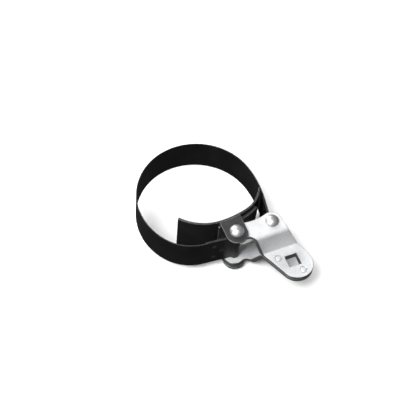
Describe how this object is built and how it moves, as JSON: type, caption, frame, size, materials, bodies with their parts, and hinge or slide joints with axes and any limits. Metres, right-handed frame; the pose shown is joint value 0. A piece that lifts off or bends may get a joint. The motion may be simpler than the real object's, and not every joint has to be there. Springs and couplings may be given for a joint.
{
  "type": "oil filter wrench",
  "caption": "Band-type oil filter wrench: a looped steel band and a curved shoe on a two-plate cam handle with a square drive hole.",
  "frame": {"origin": "centre of the square drive hole, half way through the tongue of the handle", "axes": "+Z along the drive axis and the filter axis, +X from the pivot rivet to the band rivet, +Y from the drive towards the filter"},
  "size_m": [0.1495, 0.1841, 0.064],
  "materials": {
    "zinc_plated_steel": "bright zinc plate, satin",
    "rivet_steel": "bright zinc plate, polished by the rivet set",
    "black_spring_steel": "black oxide, oiled, semi-matte",
    "black_steel": "black oxide, semi-matte, with lighter sheared edges",
    "weld_metal": "spot weld"
  },
  "bodies": {
    "handle": {"upper_handle_plate": "zinc_plated_steel", "lower_handle_plate": "zinc_plated_steel", "tongue_rivets": "zinc_plated_steel", "pivot_rivet": "rivet_steel", "band_rivet": "rivet_steel"},
    "band": {"band": "black_spring_steel", "front_end_welds": "weld_metal", "rear_end_welds": "weld_metal"},
    "shoe": {"shoe_plate": "black_steel", "shoe_bracket": "black_steel", "bracket_welds": "weld_metal"}
  },
  "joints": [
    {"name": "handle_pivot", "type": "hinge", "parent": "handle", "child": "band", "pos_m": [-0.047, 0.04, 0], "axis": [0, 0, 1], "range_deg": [-12, 25], "stiffness_Nm_per_rad": 0.8, "deforming": ["band", "rear_end_welds"]},
    {"name": "shoe_pivot", "type": "hinge", "parent": "band", "child": "shoe", "pos_m": [-0.047, 0.04, 0], "axis": [0, 0, 1], "range_deg": [0, 20]}
  ]
}
